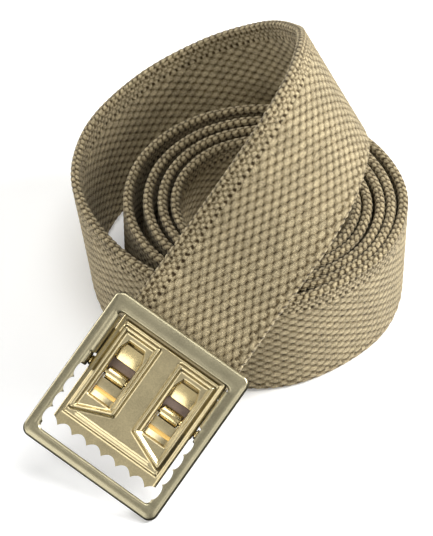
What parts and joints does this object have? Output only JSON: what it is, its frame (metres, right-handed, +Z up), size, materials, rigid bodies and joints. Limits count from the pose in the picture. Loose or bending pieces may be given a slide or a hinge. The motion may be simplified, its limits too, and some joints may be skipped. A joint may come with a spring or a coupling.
{
  "type": "coiled canvas web belt with open-face buckle",
  "caption": "Cotton web belt coiled on edge, its end looped over the coil into a square open-face clamp buckle.",
  "frame": {"origin": "middle of the belt's box, on the surface that it lies on", "axes": "+Z up; +Y from the buckle towards the loop behind the coil; +X to the right of the picture"},
  "size_m": [0.0978, 0.1408, 0.0708],
  "materials": {
    "canvas": "khaki cotton webbing, coarse warp-faced weave, matt",
    "satin_brass": "satin brass, fine speckle, brighter along its edges",
    "bright_brass": "bright brass"
  },
  "bodies": {
    "belt": {"web_strap": "canvas", "grip_plate": "satin_brass", "pivot_pin": "bright_brass"},
    "frame": {"buckle_frame": "satin_brass"},
    "jaw": {"clamp_jaw": "bright_brass"}
  },
  "joints": [
    {"name": "frame_tilt", "type": "hinge", "parent": "belt", "child": "frame", "pos_m": [-0.01915, -0.04396, 0.01717], "axis": [0.813, -0.4783, -0.3321], "range_deg": [0, 25]},
    {"name": "jaw_clamp", "type": "hinge", "parent": "belt", "child": "jaw", "pos_m": [-0.01915, -0.04396, 0.01717], "axis": [-0.813, 0.4783, 0.3321], "range_deg": [0, 100]}
  ]
}
